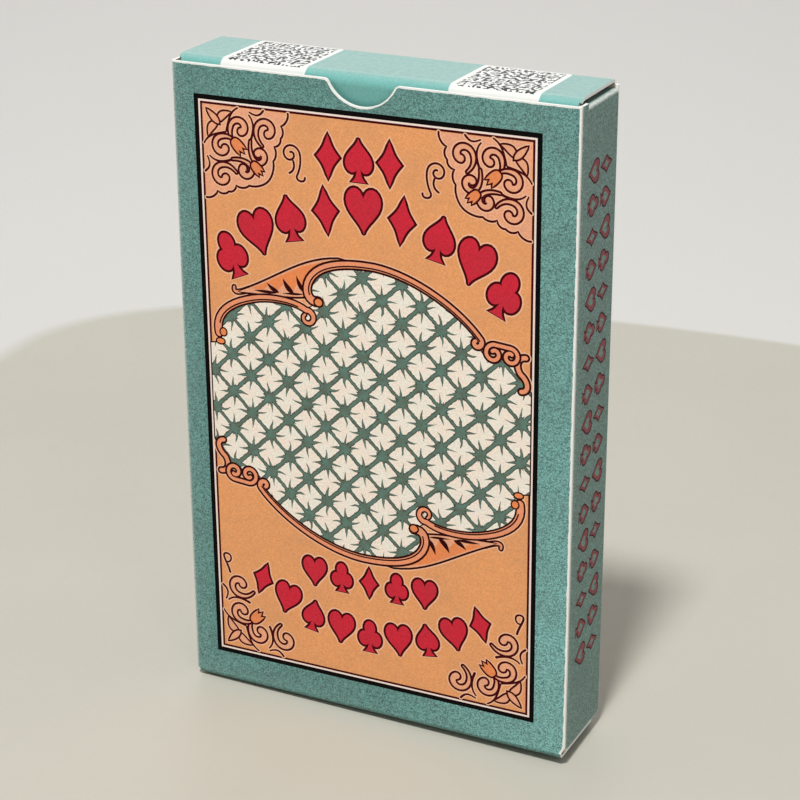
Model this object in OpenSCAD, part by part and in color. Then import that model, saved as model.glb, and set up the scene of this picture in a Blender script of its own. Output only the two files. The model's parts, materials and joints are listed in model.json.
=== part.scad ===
// Deck of fortune-telling cards with its booklet in a tuck-top carton.
// Millimetres. The origin is the middle of the carton's bottom, the front faces -Y and +Z is up.

/* [Cards] */
// Number of cards in the deck
card_count = 32; // [8:1:40]
// Width of one card
card_w = 57; // [44:0.5:90]
// Height of one card
card_h = 89; // [60:0.5:130]
// Thickness of one card
card_t = 0.28; // [0.2:0.01:0.5]
// Corner radius of one card
card_corner_r = 3.5; // [1:0.5:8]
// Air between two cards of the squared deck
card_air = 0.01; // [0.005:0.005:0.05]
// Largest sideways stray of a card in the deck
card_stray = 0.15; // [0:0.05:0.3]

/* [Booklet] */
// Width of the folded booklet
booklet_w = 54; // [40:0.5:85]
// Height of the booklet
booklet_h = 86; // [56:0.5:125]
// Number of folded sheets inside the cover
sheet_count = 2; // [1:1:4]
// Thickness of one sheet
sheet_t = 0.1; // [0.07:0.01:0.15]
// Thickness of the cover
cover_t = 0.16; // [0.1:0.01:0.25]
// Air between two nested sheets
sheet_air = 0.005; // [0.002:0.001:0.02]
// Diameter of the staple wire
wire_d = 0.3; // [0.2:0.02:0.4]
// Length of a staple's back
staple_l = 10; // [6:0.5:14]
// Distance between the two staples
staple_pitch = 45; // [20:0.5:50]
// Length of a staple's clinched ends
clinch_l = 3.6; // [2:0.1:4]
// Room round the staple wire, in its holes and in the innermost fold
wire_room = 0.03; // [0.02:0.005:0.05]

/* [Board] */
// Thickness of the carton board
board = 0.4; // [0.3:0.05:0.5]
// Outer radius of the folds along the lid's back edge and the bottom
fold_r = 0.8; // [0.65:0.05:1.2]
// Outer radius of the tight ridges that carry the dust flaps
ridge_r = 0.55; // [0.55:0.05:1.2]
// Outer radius of the upright corner folds
corner_r = 0.6; // [0.55:0.05:1]
// Outer radius of the softer fold between the lid and its tongue
tuck_r = 1.5; // [0.9:0.05:2]

/* [Room inside] */
// Room beside the deck, at each end
side_room = 0.5; // [0.2:0.1:2]
// Room above the cards, up to the lid
head_room = 2.45; // [2.2:0.05:6]
// Air under the cards and the booklet
floor_air = 0.05; // [0.02:0.01:0.2]
// Air between deck, booklet and back panel
stack_air = 0.1; // [0.05:0.05:0.5]
// Room between the tongue's root and the deck, for the tongue's lean and swing
swing_room = 0.9; // [0.85:0.05:3]
// Gap between the front panel and the tongue's root
tongue_gap = 0.55; // [0.5:0.05:1]

/* [Lid and tongue] */
// How far the front panel's top edge lies below the lid's underside
front_drop = 0.3; // [0.2:0.05:1]
// How far the lid stops short of the carton's ends
lid_inset = 0.6; // [0.35:0.05:1.5]
// How far the tongue stops short of the lid's ends
tongue_inset = 0.35; // [0.35:0.05:2]
// Depth of the tongue below the lid's top
tongue_l = 9; // [7:0.5:10]
// How far the tongue leans in from upright, in degrees
tongue_lean = 4.5; // [4:0.5:5]
// Radius of the tongue's lower corners
tongue_corner_r = 5; // [1:0.5:5]

/* [Thumb notch] */
// Width of the thumb notch at the front panel's top edge
notch_w = 9.9; // [8:0.1:20]
// Depth of the thumb notch
notch_depth = 3.3; // [2:0.1:3.8]
// Radius of the notch's shoulders
shoulder_r = 0.8; // [0.3:0.1:2]
// Offset of the notch from the carton's middle
notch_offset = -0.95; // [-3:0.05:3]

/* [Flaps and seam] */
// Length of a dust flap
flap_l = 13; // [8:0.5:14]
// How far the dust flaps' ridges lie below the lid's underside
ridge_drop = 0.7; // [0.5:0.05:0.8]
// How steeply a dust flap dips into the carton, in degrees
flap_dip = 2.5; // [1:0.5:3]
// Distance from the back fold to a dust flap's ridge
flap_back_gap = 0.8; // [0.6:0.1:2]
// Distance from the tongue to a dust flap's ridge
flap_front_gap = 1.1; // [1:0.1:3]
// Taper of a dust flap's back edge, in degrees
flap_back_taper = 15; // [14.5:0.5:17]
// Taper of a dust flap's front edge, in degrees
flap_front_taper = 12; // [11:0.5:14]
// Bevel at the corners of every flap's free edge
flap_bevel = 1; // [0.5:0.1:1.5]
// Slit between a dust flap's ridge and the side panel's shoulders
slit = 0.15; // [0.1:0.05:0.3]
// Length of the flaps that close the bottom from the two sides
bottom_flap_l = 12; // [8:0.5:16]
// Taper of those side flaps' edges, in degrees
bottom_flap_taper = 5; // [0:0.5:12]
// How far the bottom flaps stop short of the walls that they reach
bottom_flap_stop = 0.6; // [0.4:0.1:2]
// Width of the glue tab behind the front panel
glue_tab_w = 10; // [6:0.5:14]
// How far the glue tab ends below the tongue and above the bottom
glue_tab_gap = 1.2; // [0.8:0.1:4]
// Taper of the glue tab's ends, in degrees
glue_tab_taper = 20; // [10:1:40]

/* [Hidden] */
$fn = 64;
teal = [0.40, 0.59, 0.56];
grey_board = [0.83, 0.81, 0.77];
ivory = [0.94, 0.91, 0.84];
paper = [0.91, 0.89, 0.83];
steel = [0.72, 0.73, 0.75];

// Booklet: nested folds round the clinched staples, outwards from the innermost
leaf_pitch = sheet_t + sheet_air;
core_r = wire_d / 2 + wire_room;
cover_in_r = core_r + sheet_count * leaf_pitch;
booklet_r = cover_in_r + cover_t;
spine_x = booklet_r - booklet_w / 2;

// Carton, from the contents outwards
deck_t = card_count * card_t + (card_count - 1) * card_air;
contents_t = deck_t + stack_air + 2 * booklet_r + stack_air;
half_w = card_w / 2 + side_room + board;
half_d = (tongue_gap + board + swing_room + contents_t) / 2 + board;
front_in = board - half_d;
back_in = half_d - board;
tongue_out = front_in + tongue_gap;
booklet_y = back_in - stack_air - booklet_r;
deck_back = booklet_y - booklet_r - stack_air;
deck_front = deck_back - deck_t;

// Heights: outer flap, inner flap and side flaps lie on each other under the cards
floor_z = 3 * board + floor_air;
back_foot = board + fold_r;
side_foot = 2 * board + fold_r;
lid_under = floor_z + card_h + head_room;
lid_top = lid_under + board;
front_top = lid_under - front_drop;
ridge_z = lid_under - ridge_drop;
ridge_foot = ridge_z - ridge_r;
shoulder_z = front_top;
tongue_end = lid_top - tongue_l;

// Widths across the folds
corner_x = half_w - corner_r;
fold_x = half_w - fold_r;
ridge_x = half_w - ridge_r;
lid_w = 2 * (half_w - lid_inset);
tongue_w = lid_w - 2 * tongue_inset;
lid_back_y = half_d - fold_r;
lid_front_y = tongue_out + tuck_r;
flap_y0 = tongue_out + board + flap_front_gap;
flap_y1 = half_d - flap_back_gap;
flap_root = flap_y1 - flap_y0;

// Turn from one card's stray to the next, which never repeats in a deck
stray_step = 137.5;

// Thumb notch: one arc between two rounded shoulders
notch_r = (notch_w * notch_w / 4 + notch_depth * notch_depth) / (2 * notch_depth);
notch_z = front_top - notch_depth + notch_r;
shoulder_rise = notch_z - front_top + shoulder_r;
shoulder_x = sqrt(pow(notch_r + shoulder_r, 2) - pow(shoulder_rise, 2));

function card_name(i) = str("card_", i < 10 ? "0" : "", i);
function sheet_name(i) = str("booklet_sheet_", i);
function direction(a) = [cos(a), sin(a)];
function card_shift(i) = card_stray * sin(stray_step * i);

// Extrudes a section drawn in Y and Z along X, to both sides of the middle
module along_x(w) {
    translate([-w / 2, 0, 0])
        rotate([90, 0, 90])
            linear_extrude(w)
                children();
}

// Extrudes a section drawn in X and Z along Y, from y0 to y1
module along_y(y0, y1) {
    translate([0, y1, 0])
        rotate([90, 0, 0])
            linear_extrude(y1 - y0)
                children();
}

// Cross-section of board bent round the origin, between two angles
module bend(r, from, to) {
    reach = 2 * r;
    intersection() {
        difference() {
            circle(r);
            circle(r - board);
        }
        polygon([[0, 0], reach * direction(from), reach * direction((from + to) / 2), reach * direction(to)]);
    }
}

// Rectangle with four round corners, standing on the X axis
module round_rectangle(w, h, r) {
    translate([-w / 2, r])
        square([w, h - 2 * r]);
    translate([r - w / 2, 0])
        square([w - 2 * r, h]);
    for (x = [r - w / 2, w / 2 - r], y = [r, h - r])
        translate([x, y])
            circle(r);
}

// What is cut away outside a lower right corner's arc of radius r round the origin
module corner_waste(r) {
    difference() {
        translate([0, -r])
            square(r);
        circle(r);
    }
}

// Flap outline: root along the Y axis from y0 to y1, free edge at x = -l with bevelled corners
module flap_outline(y0, y1, l, taper0, taper1) {
    shoulder_l = l - flap_bevel;
    rise0 = shoulder_l * tan(taper0);
    rise1 = shoulder_l * tan(taper1);
    polygon([
        [0, y0],
        [0, y1],
        [-shoulder_l, y1 - rise1],
        [-l, y1 - rise1 - flap_bevel],
        [-l, y0 + rise0 + flap_bevel],
        [-shoulder_l, y0 + rise0]
    ]);
}

// Empty space of the thumb notch, in X and Z
module notch_space() {
    translate([notch_offset, 0]) {
        translate([0, notch_z])
            circle(notch_r);
        for (side = [-1, 1])
            difference() {
                polygon([
                    [0, notch_z],
                    [side * shoulder_x, front_top],
                    [side * shoulder_x, front_top - shoulder_r]
                ]);
                translate([side * shoulder_x, front_top - shoulder_r])
                    circle(shoulder_r);
            }
    }
}

// Front panel with the thumb notch. Its left edge folds into the side, its right edge is a cut edge.
module front_panel() {
    color(teal)
        union() {
            along_y(-half_d, front_in)
                difference() {
                    translate([-corner_x, fold_r])
                        square([corner_x + half_w, front_top - fold_r]);
                    notch_space();
                }
            translate([-corner_x, corner_r - half_d, fold_r])
                linear_extrude(front_top - fold_r)
                    bend(corner_r, 180, 270);
        }
}

// Back panel with both corner folds and the lower half of the fold that carries the lid
module back_panel() {
    color(teal)
        union() {
            along_y(back_in, half_d)
                translate([-corner_x, back_foot])
                    square([2 * corner_x, lid_top - fold_r - back_foot]);
            for (side = [0, 1])
                mirror([side, 0, 0])
                    translate([corner_x, half_d - corner_r, back_foot])
                        linear_extrude(shoulder_z - back_foot)
                            bend(corner_r, 0, 90);
            along_x(lid_w)
                translate([lid_back_y, lid_top - fold_r])
                    bend(fold_r, 0, 45);
        }
}

// Side panel on the right, from front_y to the back fold, with the lower half of the dust flap's ridge
module side_wall(front_y) {
    translate([half_w - board / 2, 0, 0])
        along_x(board)
            difference() {
                translate([front_y, side_foot])
                    square([half_d - corner_r - front_y, shoulder_z - side_foot]);
                translate([flap_y0 - slit, ridge_foot])
                    square([flap_root + 2 * slit, ridge_r + ridge_drop]);
            }
    translate([ridge_x, 0, ridge_foot])
        along_y(flap_y0, flap_y1)
            bend(ridge_r, 0, 45);
}

module left_side_panel() {
    color(teal)
        mirror([1, 0, 0])
            union()
                side_wall(corner_r - half_d);
}

// The right side panel's front fold turns in behind the front panel's cut edge
module right_side_panel() {
    color(teal)
        union() {
            side_wall(front_in + corner_r);
            translate([corner_x, front_in + corner_r, side_foot])
                linear_extrude(shoulder_z - side_foot)
                    bend(corner_r, 270, 360);
        }
}

// Glue tab behind the front panel, with tapered ends
module glue_tab() {
    end_rise = glue_tab_w * tan(glue_tab_taper);
    low = side_foot + glue_tab_gap;
    high = tongue_end - glue_tab_gap;
    color(grey_board)
        along_y(front_in, front_in + board)
            polygon([
                [corner_x, low],
                [corner_x, high],
                [corner_x - glue_tab_w, high - end_rise],
                [corner_x - glue_tab_w, low + end_rise]
            ]);
}

// Bottom flap that folds from the front panel and shows underneath
module bottom_outer_flap() {
    reach = 2 * half_d - fold_r - bottom_flap_stop;
    color(teal)
        union() {
            along_x(lid_w)
                translate([fold_r - half_d, fold_r])
                    bend(fold_r, 180, 270);
            translate([0, fold_r - half_d, 0])
                rotate([0, 0, -90])
                    linear_extrude(board)
                        flap_outline(-lid_w / 2, lid_w / 2, reach, 0, 0);
        }
}

// Bottom flap that folds from the back panel, glued to the outer one
module bottom_inner_flap() {
    reach = half_d - fold_r - front_in - bottom_flap_stop;
    color(grey_board)
        union() {
            along_x(lid_w)
                translate([half_d - fold_r, back_foot])
                    bend(fold_r, 270, 360);
            translate([0, half_d - fold_r, board])
                rotate([0, 0, 90])
                    linear_extrude(board)
                        flap_outline(-lid_w / 2, lid_w / 2, reach, 0, 0);
        }
}

// Flap that folds in from the right side panel, on top of the two glued flaps
module bottom_side_flap() {
    reach = back_in - bottom_flap_stop;
    color(grey_board)
        union() {
            translate([fold_x, 0, side_foot])
                along_y(-reach, reach)
                    bend(fold_r, 270, 360);
            translate([fold_x, 0, 2 * board])
                linear_extrude(board)
                    flap_outline(-reach, reach, bottom_flap_l, bottom_flap_taper, bottom_flap_taper);
        }
}

module bottom_side_flap_left() {
    mirror([1, 0, 0])
        bottom_side_flap();
}

module bottom_side_flap_right() {
    bottom_side_flap();
}

// Lid with the upper half of the back fold and the upper half of the tongue's fold
module lid_panel() {
    color(teal)
        along_x(lid_w) {
            translate([lid_back_y, lid_top - fold_r])
                bend(fold_r, 45, 90);
            translate([lid_front_y, lid_under])
                square([lid_back_y - lid_front_y, board]);
            translate([lid_front_y, lid_top - tuck_r])
                bend(tuck_r, 90, 135);
        }
}

// Tongue that tucks in behind the front panel, with the lower half of its fold
module tuck_tongue() {
    plate_l = tongue_l - tuck_r;
    color(teal)
        translate([0, lid_front_y, lid_top - tuck_r])
            rotate([tongue_lean, 0, 0])
                union() {
                    along_x(tongue_w)
                        bend(tuck_r, 135 - tongue_lean, 180);
                    along_y(-tuck_r, board - tuck_r)
                        difference() {
                            translate([-tongue_w / 2, -plate_l])
                                square([tongue_w, plate_l]);
                            for (side = [0, 1])
                                mirror([side, 0])
                                    translate([tongue_w / 2 - tongue_corner_r, tongue_corner_r - plate_l])
                                        corner_waste(tongue_corner_r);
                        }
                }
}

// Dust flap on the right: upper half of the ridge, then the flap dipping into the carton
module dust_flap() {
    color(teal)
        translate([ridge_x, 0, ridge_foot])
            rotate([0, -flap_dip, 0])
                union() {
                    along_y(flap_y0, flap_y1)
                        bend(ridge_r, 45 - flap_dip, 90);
                    translate([0, 0, ridge_r - board])
                        linear_extrude(board)
                            flap_outline(flap_y0, flap_y1, flap_l, flap_front_taper, flap_back_taper);
                }
}

module dust_flap_left() {
    mirror([1, 0, 0])
        dust_flap();
}

module dust_flap_right() {
    dust_flap();
}

// One card, counted from the front of the deck
module card(i) {
    front = deck_front + (i - 1) * (card_t + card_air);
    color(ivory)
        translate([card_shift(i), 0, floor_z])
            along_y(front, front + card_t)
                round_rectangle(card_w, card_h, card_corner_r);
}

// Moves to the booklet's spine, at its lower edge
module at_spine() {
    translate([spine_x, booklet_y, floor_z])
        children();
}

// Moves to both staples, at the middle of their backs
module at_staples() {
    for (z = [booklet_h / 2 - staple_pitch / 2, booklet_h / 2 + staple_pitch / 2])
        translate([0, 0, z])
            children();
}

// Moves to the two ends of a staple's back
module at_legs() {
    for (side = [0, 1])
        mirror([0, 0, side])
            translate([0, 0, staple_l / 2])
                children();
}

// One folded sheet, bent round the spine from inner radius r, with its staple holes
module folded_sheet(r, t) {
    at_spine()
        difference() {
            linear_extrude(booklet_h)
                difference() {
                    union() {
                        circle(r + t);
                        translate([0, -r - t])
                            square([booklet_w - booklet_r, 2 * (r + t)]);
                    }
                    circle(r);
                    translate([0, -r])
                        square([booklet_w, 2 * r]);
                }
            at_staples()
                at_legs()
                    rotate([0, -90, 0])
                        cylinder(r = wire_d / 2 + wire_room, h = 2 * booklet_r);
        }
}

module booklet_cover() {
    color(teal)
        folded_sheet(cover_in_r, cover_t);
}

// Inner sheet, counted from the cover inwards
module booklet_sheet(i) {
    color(paper)
        folded_sheet(core_r + (sheet_count - i) * leaf_pitch, sheet_t);
}

// Saddle staples: back outside the spine, legs through the folds, ends clinched inside the innermost sheet
module booklet_staples() {
    wire_r = wire_d / 2;
    bend_r = 0.75 * wire_d;
    back_x = -booklet_r - wire_r - sheet_air;
    clinch_x = wire_room;
    color(steel)
        at_spine()
            at_staples() {
                translate([back_x, 0, bend_r - staple_l / 2])
                    cylinder(r = wire_r, h = staple_l - 2 * bend_r);
                at_legs() {
                    translate([back_x + bend_r, 0, 0])
                        rotate([0, 90, 0])
                            cylinder(r = wire_r, h = clinch_x - back_x - 2 * bend_r);
                    translate([clinch_x, 0, -bend_r - clinch_l])
                        cylinder(r = wire_r, h = clinch_l);
                    for (corner = [[back_x + bend_r, 90], [clinch_x - bend_r, 0]])
                        translate([corner[0], 0, -bend_r])
                            rotate([90, 0, 0])
                                rotate_extrude(angle = 90, start = corner[1])
                                    translate([bend_r, 0])
                                        circle(wire_r);
                }
            }
}

front_panel();
back_panel();
left_side_panel();
right_side_panel();
glue_tab();
bottom_outer_flap();
bottom_inner_flap();
bottom_side_flap_left();
bottom_side_flap_right();
lid_panel();
tuck_tongue();
dust_flap_left();
dust_flap_right();
for (i = [1 : card_count])
    card(i);
booklet_cover();
for (i = [1 : sheet_count])
    booklet_sheet(i);
booklet_staples();
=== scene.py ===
"""Deck of fortune-telling cards with its booklet in a printed tuck-top carton.

Each panel of the carton is a sheet of board that follows its folds, with the print cut into its outer face.
Lengths are millimetres until a mesh is made. A sheet is drawn flat, in u along its section and v across it.
"""
import functools
import json
import math
import random

import bpy
import numpy as np
from mathutils import Matrix, Vector, geometry


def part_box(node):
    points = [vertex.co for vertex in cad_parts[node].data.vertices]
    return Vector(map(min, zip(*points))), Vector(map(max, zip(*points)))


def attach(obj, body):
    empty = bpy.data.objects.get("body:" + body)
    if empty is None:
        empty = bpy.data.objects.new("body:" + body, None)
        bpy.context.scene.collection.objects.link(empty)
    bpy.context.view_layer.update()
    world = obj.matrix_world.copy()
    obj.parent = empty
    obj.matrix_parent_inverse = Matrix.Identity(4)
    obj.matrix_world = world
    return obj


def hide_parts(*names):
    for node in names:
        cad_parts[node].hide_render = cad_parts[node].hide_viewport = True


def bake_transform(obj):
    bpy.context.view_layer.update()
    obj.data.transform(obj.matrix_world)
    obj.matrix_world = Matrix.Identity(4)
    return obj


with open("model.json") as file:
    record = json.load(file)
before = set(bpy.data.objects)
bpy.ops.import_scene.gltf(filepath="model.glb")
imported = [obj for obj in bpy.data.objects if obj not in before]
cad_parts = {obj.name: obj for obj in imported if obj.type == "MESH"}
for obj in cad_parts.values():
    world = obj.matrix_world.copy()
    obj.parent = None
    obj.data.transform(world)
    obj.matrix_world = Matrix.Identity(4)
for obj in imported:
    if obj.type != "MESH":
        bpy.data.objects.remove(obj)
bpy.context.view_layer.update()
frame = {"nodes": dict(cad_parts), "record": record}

MM = 0.001
# Cosine at the middle of a square bend, where two panels of the carton meet
MID_BEND = math.sqrt(0.5)


def span(node):
    """Lowest and highest corner of a node, in millimetres."""
    low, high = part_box(node)
    return low / MM, high / MM


# Sizes of the carton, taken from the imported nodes
front_low, front_high = span("front_panel")
back_low, _ = span("back_panel")
side_low, side_high = span("right_side_panel")
tab_low, tab_high = span("glue_tab")
lid_low, lid_high = span("lid_panel")
tongue_low, tongue_high = span("tuck_tongue")
flap_low, flap_high = span("dust_flap_right")
_, outer_high = span("bottom_outer_flap")
inner_low, _ = span("bottom_inner_flap")
foot_low, foot_high = span("bottom_side_flap_right")
BOARD = tab_high.y - tab_low.y
HALF_W = front_high.x
HALF_D = -front_low.y
FRONT_TOP = front_high.z
FRONT_IN = BOARD - HALF_D
FOLD_R = front_low.z
CORNER_R = front_high.y - front_low.y
CORNER_X = HALF_W - CORNER_R
FOLD_X = HALF_W - FOLD_R
CORNER_LENGTH = CORNER_R * math.pi / 2
FOLD_LENGTH = FOLD_R * math.pi / 2
LID_TOP = lid_high.z
LID_X = lid_high.x
TUCK_R = (LID_TOP - lid_low.z - BOARD * MID_BEND) / (1 - MID_BEND)
LID_FRONT = tongue_low.y + TUCK_R
LID_BACK = HALF_D - FOLD_R
SHOULDER_Z = side_high.z
RIDGE_R = (HALF_W - flap_high.x) / (1 - MID_BEND)
RIDGE_X = HALF_W - RIDGE_R
RIDGE_FOOT = flap_high.z - RIDGE_R

# Shapes of the cut edges, as the carton's die cuts them
TONGUE_LEAN = 4.5
TONGUE_PLATE = 7.5
TONGUE_CORNER_R = 5.0
NOTCH_W = 9.9
NOTCH_DEPTH = 3.3
NOTCH_X = -0.95
SHOULDER_R = 0.8
FLAP_L = 13.0
FLAP_DIP = 2.5
FLAP_TAPERS = (12.0, 15.0)
FLAP_BEVEL = 1.0
FLAP_SLIT = 0.15
FOOT_FLAP_L = 12.0
FOOT_FLAP_TAPERS = (5.0, 5.0)
TAB_TAPER = 20.0

# Layout of the print
FRAME_LEFT, FRAME_RIGHT = -25.8, 24.5
FRAME_LOW, FRAME_HIGH = 4.7, 88.45
RULE_W, PALE_W, THIN_W = 0.68, 0.27, 0.32
PANEL_INSET = RULE_W + PALE_W + THIN_W / 2
BACK_INSET = 5.0
MIDDLE_X = (FRAME_LEFT + FRAME_RIGHT) / 2
MIDDLE_Z = 46.1
LATTICE_PITCH = (2.9, 2.8)
LATTICE_START = (-4.0, 57.5)
LOWER_SCALE = 1.05
PRINT_TILT = 0.3
PATCHES = ((-22.4, -9.7), (10.8, 23.2))
PATCH_START, PATCH_END = 0.6 * FOLD_LENGTH, 2.4
PATCH_FIELD_END = 0.75
PATCH_EDGE = 0.75
PATCH_R = 1.0

# Lines of the print and the pale halos round them
PIP_LINE, PIP_HALO = 0.34, 0.2
PEN_LINE, PEN_HALO = 0.32, 0.3
RIBBON_LINE, RIBBON_HALO = 0.31, 0.34
FINE_LINE, FINE_HALO = 0.28, 0.14
BORDER_HALO = 0.17
LEAF_LINE, SHELF_LINE, SHADE_LINE = 0.3, 0.27, 0.22
FRONT_LATTICE_LINE, BACK_LATTICE_LINE = 0.2, 0.24

# Wear of the front: its nipped lower right corner, and strips along cut edges where print has chipped off
NIP = (0.6, 1.2)
CHIP_TOP, CHIP_RIGHT = 0.22, 0.3
CHIP_STEP = 0.6
CHIP_SPREAD = (0.82, 1.18)
CHIP_OVERHANG = 0.05

# Steps of the meshes
BEND_STEPS = 8
GUARD = 0.06
MERGE = 0.0005
SHARP_ANGLE = math.radians(30)

rng = random.Random(32)


# Flat outlines

def arc(center, radius, start, end, steps=12):
    """Points on a circle from one angle to another, in degrees."""
    angles = [math.radians(start + (end - start) * i / steps) for i in range(steps + 1)]
    return [(center[0] + radius * math.cos(a), center[1] + radius * math.sin(a)) for a in angles]


def spiral(center, outer, inner, start, turn):
    """Points of a spiral that winds in round its center from the outer radius."""
    steps = max(10, int(abs(turn) / 15))
    points = []
    for i in range(steps + 1):
        share = i / steps
        angle = math.radians(start + turn * share)
        radius = outer + (inner - outer) * share
        points.append((center[0] + radius * math.cos(angle), center[1] + radius * math.sin(angle)))
    return points


def bezier(a, b, c, d, steps=12):
    """Points of a cubic curve."""
    points = []
    for i in range(steps + 1):
        t = i / steps
        s = 1 - t
        weights = (s * s * s, 3 * s * s * t, 3 * s * t * t, t * t * t)
        points.append(tuple(sum(w * p[k] for w, p in zip(weights, (a, b, c, d))) for k in (0, 1)))
    return points


def curves(start, *runs):
    """Cubic curves that follow one another, each given by its steps and its last three points."""
    line = [start]
    for steps, *rest in runs:
        line += bezier(line[-1], *rest, steps)[1:]
    return line


def rectangle(left, low, right, high):
    return [(left, low), (right, low), (right, high), (left, high)]


def ellipse(center, width, height, steps=20):
    angles = [2 * math.pi * i / steps for i in range(steps)]
    return [(center[0] + width / 2 * math.cos(a), center[1] + height / 2 * math.sin(a)) for a in angles]


def lefts(points):
    """Unit vectors to the left of an open line, one at each of its points."""
    ways = np.gradient(np.array(points), axis=0)
    ways = ways / np.linalg.norm(ways, axis=1)[:, None]
    return np.stack([-ways[:, 1], ways[:, 0]], axis=1)


def stroke(points, width, end_width=None):
    """Closed outline of a pen line, which may swell or taper to end_width, with round ends."""
    line = np.array(points)
    sides = lefts(points)
    last = width if end_width is None else end_width
    halves = np.linspace(width, last, len(line))[:, None] / 2
    left = (line + sides * halves).tolist()
    right = (line - sides * halves).tolist()
    begin = math.degrees(math.atan2(sides[0][1], sides[0][0]))
    stop = math.degrees(math.atan2(sides[-1][1], sides[-1][0]))
    tail = arc(line[0], width / 2, begin, begin + 180, 6)[1:-1]
    head = arc(line[-1], last / 2, stop + 180, stop + 360, 6)[1:-1]
    return left[::-1] + tail + right + head


def grow(loop, distance):
    """A closed outline moved outwards by a distance."""
    points = np.array(loop)
    ahead = np.roll(points, -1, axis=0)
    area = np.sum(points[:, 0] * ahead[:, 1] - points[:, 1] * ahead[:, 0])
    ways = ahead - points if area > 0 else points - ahead
    ways = ways / np.maximum(np.linalg.norm(ways, axis=1), 1e-9)[:, None]
    after = np.stack([ways[:, 1], -ways[:, 0]], axis=1)
    before = np.roll(after, 1, axis=0)
    stretch = np.maximum(1 + np.sum(before * after, axis=1), 0.5)[:, None]
    return (points + (before + after) / stretch * distance).tolist()


def leaf(base, tip, width, bow=0.0):
    """Pointed leaf from base to tip, bent sideways by bow."""
    a, b = np.array(base), np.array(tip)
    side = np.array([a[1] - b[1], b[0] - a[0]]) / np.linalg.norm(b - a)
    steps = 12
    left, right = [], []
    for i in range(steps + 1):
        t = i / steps
        middle = a + (b - a) * t + side * bow * math.sin(math.pi * t)
        half = width / 2 * math.sin(math.pi * t ** 0.75)
        left.append(middle + side * half)
        right.append(middle - side * half)
    return [tuple(p) for p in right + left[-2:0:-1]]


# Card pips, one unit high round the origin

def heart():
    points = []
    for i in range(40):
        t = 2 * math.pi * i / 40
        rise = 13 * math.cos(t) - 5 * math.cos(2 * t) - 2 * math.cos(3 * t) - math.cos(4 * t)
        points.append((16 * math.sin(t) ** 3 / 30, (rise + 2.5) / 29.5))
    return [points]


def pip_foot():
    """Flared foot of a spade or club."""
    right = bezier((0.04, -0.02), (0.05, -0.3), (0.1, -0.44), (0.24, -0.5), 8)
    return right[::-1] + [(-x, y) for x, y in right]


def spade():
    body = [(0.82 * x, 0.1 - 0.8 * y) for x, y in heart()[0]]
    return [body, pip_foot()]


def club():
    lobes = [(0, 0.26), (-0.24, -0.08), (0.24, -0.08)]
    return [ellipse(c, 0.46, 0.46, 24) for c in lobes] + [ellipse((0, 0.02), 0.24, 0.24)] + [pip_foot()]


def diamond():
    loop = []
    corners = [(0.0, 0.5), (-0.37, 0.0), (0.0, -0.5), (0.37, 0.0)]
    for a, b in zip(corners, corners[1:] + corners[:1]):
        bow = (0.4 * (a[0] + b[0]), 0.4 * (a[1] + b[1]))
        loop += bezier(a, bow, bow, b, 8)[:-1]
    return [loop]


PIPS = {"h": heart, "s": spade, "c": club, "d": diamond}
PIP_NARROW = 0.76
HALO, INK = 0, 1


def turned(loop, center, size, degrees=0.0):
    """An outline round the origin, at its place, size and turn."""
    c, s = math.cos(math.radians(degrees)), math.sin(math.radians(degrees))
    return [(center[0] + size * (x * c - y * s), center[1] + size * (x * s + y * c)) for x, y in loop]


def moved(layers, place):
    """Layers whose points each go where place puts them."""
    return [(level, name, [place(x, y) for x, y in loop]) for level, name, loop in layers]


def outlined(loops, fill, line, line_w, halo_w=0.0):
    """Layers of a filled figure with a dark outline and a pale halo round it."""
    layers = []
    if halo_w:
        layers += [(HALO, "halo", grow(loop, line_w + halo_w)) for loop in loops]
    layers += [(INK, line, grow(loop, line_w)) for loop in loops]
    return layers + [(INK, fill, loop) for loop in loops]


def pip_loops(kind, center, size, degrees):
    """Outlines of one card pip."""
    loops = [[(PIP_NARROW * x, y) for x, y in loop] for loop in PIPS[kind]()]
    return [turned(loop, center, size, degrees) for loop in loops]


def pip(kind, center, size, degrees=0.0, fill="red", line="maroon", line_w=PIP_LINE, halo_w=PIP_HALO):
    """Layers of one card pip."""
    return outlined(pip_loops(kind, center, size, degrees), fill, line, line_w, halo_w)


def pen(points, width=PEN_LINE, end_width=None):
    """Layers of a plain pen line with its halo."""
    last = width if end_width is None else end_width
    return [
        (HALO, "halo", stroke(points, width + PEN_HALO, last + PEN_HALO)),
        (INK, "maroon", stroke(points, width, end_width)),
    ]


def ribbon(points, width, end_width, line_w=RIBBON_LINE, line="dark", fill="coral"):
    """Layers of a coloured band between two dark lines."""
    edge = 2 * line_w
    halo = edge + RIBBON_HALO
    return [
        (HALO, "halo", stroke(points, width + halo, end_width + halo)),
        (INK, line, stroke(points, width + edge, end_width + edge)),
        (INK, fill, stroke(points, width, end_width)),
    ]


def petal(base, tip, width, bow=0.0):
    """Layers of a small outlined leaf."""
    return outlined([leaf(base, tip, width, bow)], "blush", "maroon", FINE_LINE, FINE_HALO)


def bead(center, width, height, line_w=SHADE_LINE):
    """Layers of a small round bead."""
    return outlined([ellipse(center, width, height, 14)], "orange", "dark", line_w, BORDER_HALO)


def beside(points, distance):
    """A line moved to its left by a distance."""
    return (np.array(points) + distance * lefts(points)).tolist()


# Print of the carton

def frame_layers(left, low, right, high):
    """Black rule, pale line and thin line round a coloured field."""
    layers = []
    inset = 0.0
    for name, width in (("black", RULE_W), ("pale", PALE_W), ("maroon", THIN_W), ("apricot", 0.0)):
        layers.append((HALO, name, rectangle(left + inset, low + inset, right - inset, high - inset)))
        inset += width
    return layers


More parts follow.
